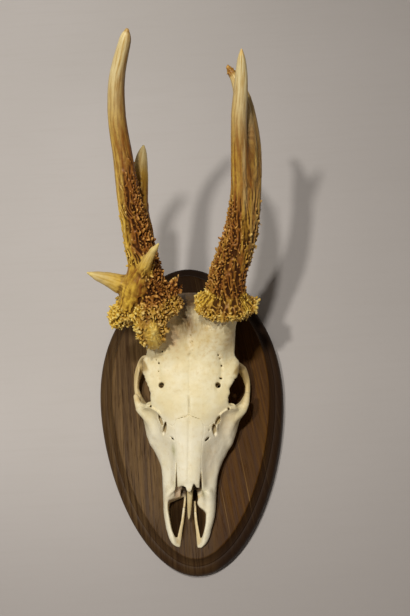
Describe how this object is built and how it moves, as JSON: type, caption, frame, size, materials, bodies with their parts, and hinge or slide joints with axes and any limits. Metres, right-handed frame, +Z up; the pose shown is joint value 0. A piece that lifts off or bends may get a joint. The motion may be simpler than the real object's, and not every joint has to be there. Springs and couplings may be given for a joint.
{
  "type": "roe deer skull mount with antlers on an oak shield",
  "caption": "Bare roe deer skull with uneven pearled antlers, fixed flat-backed on an egg-shaped, moulded dark oak wall shield with a blind nail hole behind.",
  "frame": {"origin": "middle of the shield's flat back, which lies on the wall", "axes": "+Z up along the shield, +X to the viewer's right, +Y into the wall; the skull and antlers stand out towards -Y"},
  "size_m": [0.1452, 0.2261, 0.3174],
  "materials": {
    "oak": "satin",
    "bone": "matte",
    "bone_thin": "matte",
    "burr": "matte",
    "antler_pearled": "matte",
    "antler_polished": "satin"
  },
  "bodies": {
    "root": {"board": "oak", "skull_premaxilla_left": "bone", "skull_premaxilla_right": "bone", "skull_maxilla_left": "bone", "skull_maxilla_right": "bone", "skull_nasals": "bone", "skull_vomer": "bone_thin", "skull_frontal": "bone", "skull_braincase": "bone", "skull_orbit_left": "bone", "skull_orbit_right": "bone", "antler_left_coronet": "burr", "antler_left_beam_lower": "antler_pearled", "antler_left_beam_upper": "antler_polished", "antler_left_tine_rear": "antler_pearled", "antler_right_coronet": "burr", "antler_right_beam_lower": "antler_pearled", "antler_right_beam_upper": "antler_polished", "antler_right_tine_rear": "antler_pearled", "antler_right_tine_front": "antler_polished", "antler_right_tine_side": "antler_polished"}
  },
  "joints": []
}
